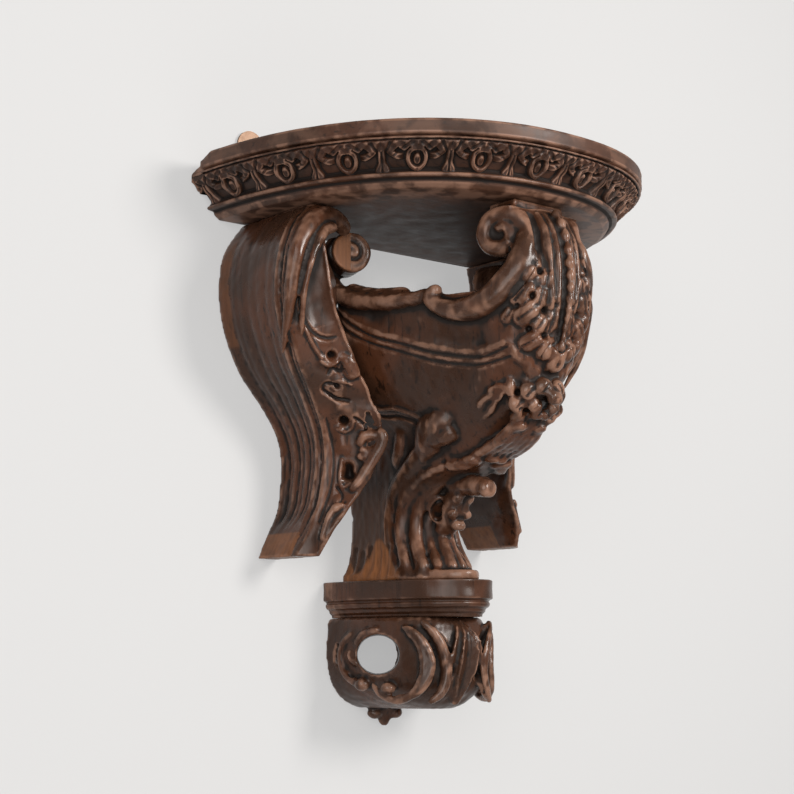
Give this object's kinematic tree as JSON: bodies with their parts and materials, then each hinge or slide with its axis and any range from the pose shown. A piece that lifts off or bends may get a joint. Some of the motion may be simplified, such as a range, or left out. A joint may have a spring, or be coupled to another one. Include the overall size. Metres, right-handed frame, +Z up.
{
  "type": "carved wooden wall bracket",
  "caption": "Dark carved wall bracket: half-round moulded shelf on a bellied, leaf-carved body with fluted wings, a stepped plinth and a pierced scroll drop.",
  "frame": {"origin": "middle of the shelf's flat back, where the bracket meets the wall", "axes": "+X to the right along the wall, +Y into the wall, +Z up"},
  "size_m": [0.3997, 0.248, 0.4976],
  "materials": {
    "shelf_wood": "dark stained and waxed wood, rubbed reddish at the edges",
    "carved_wood": "dark stained and waxed carving, worn reddish on the high places",
    "plate_brass": "dull aged brass"
  },
  "bodies": {
    "root": {"shelf_board": "shelf_wood", "shelf_cornice": "shelf_wood", "bracket_body": "carved_wood", "wing_left": "carved_wood", "wing_right": "carved_wood", "plinth": "carved_wood", "scroll_block": "carved_wood", "plate_left": "plate_brass", "plate_right": "plate_brass"}
  },
  "joints": []
}
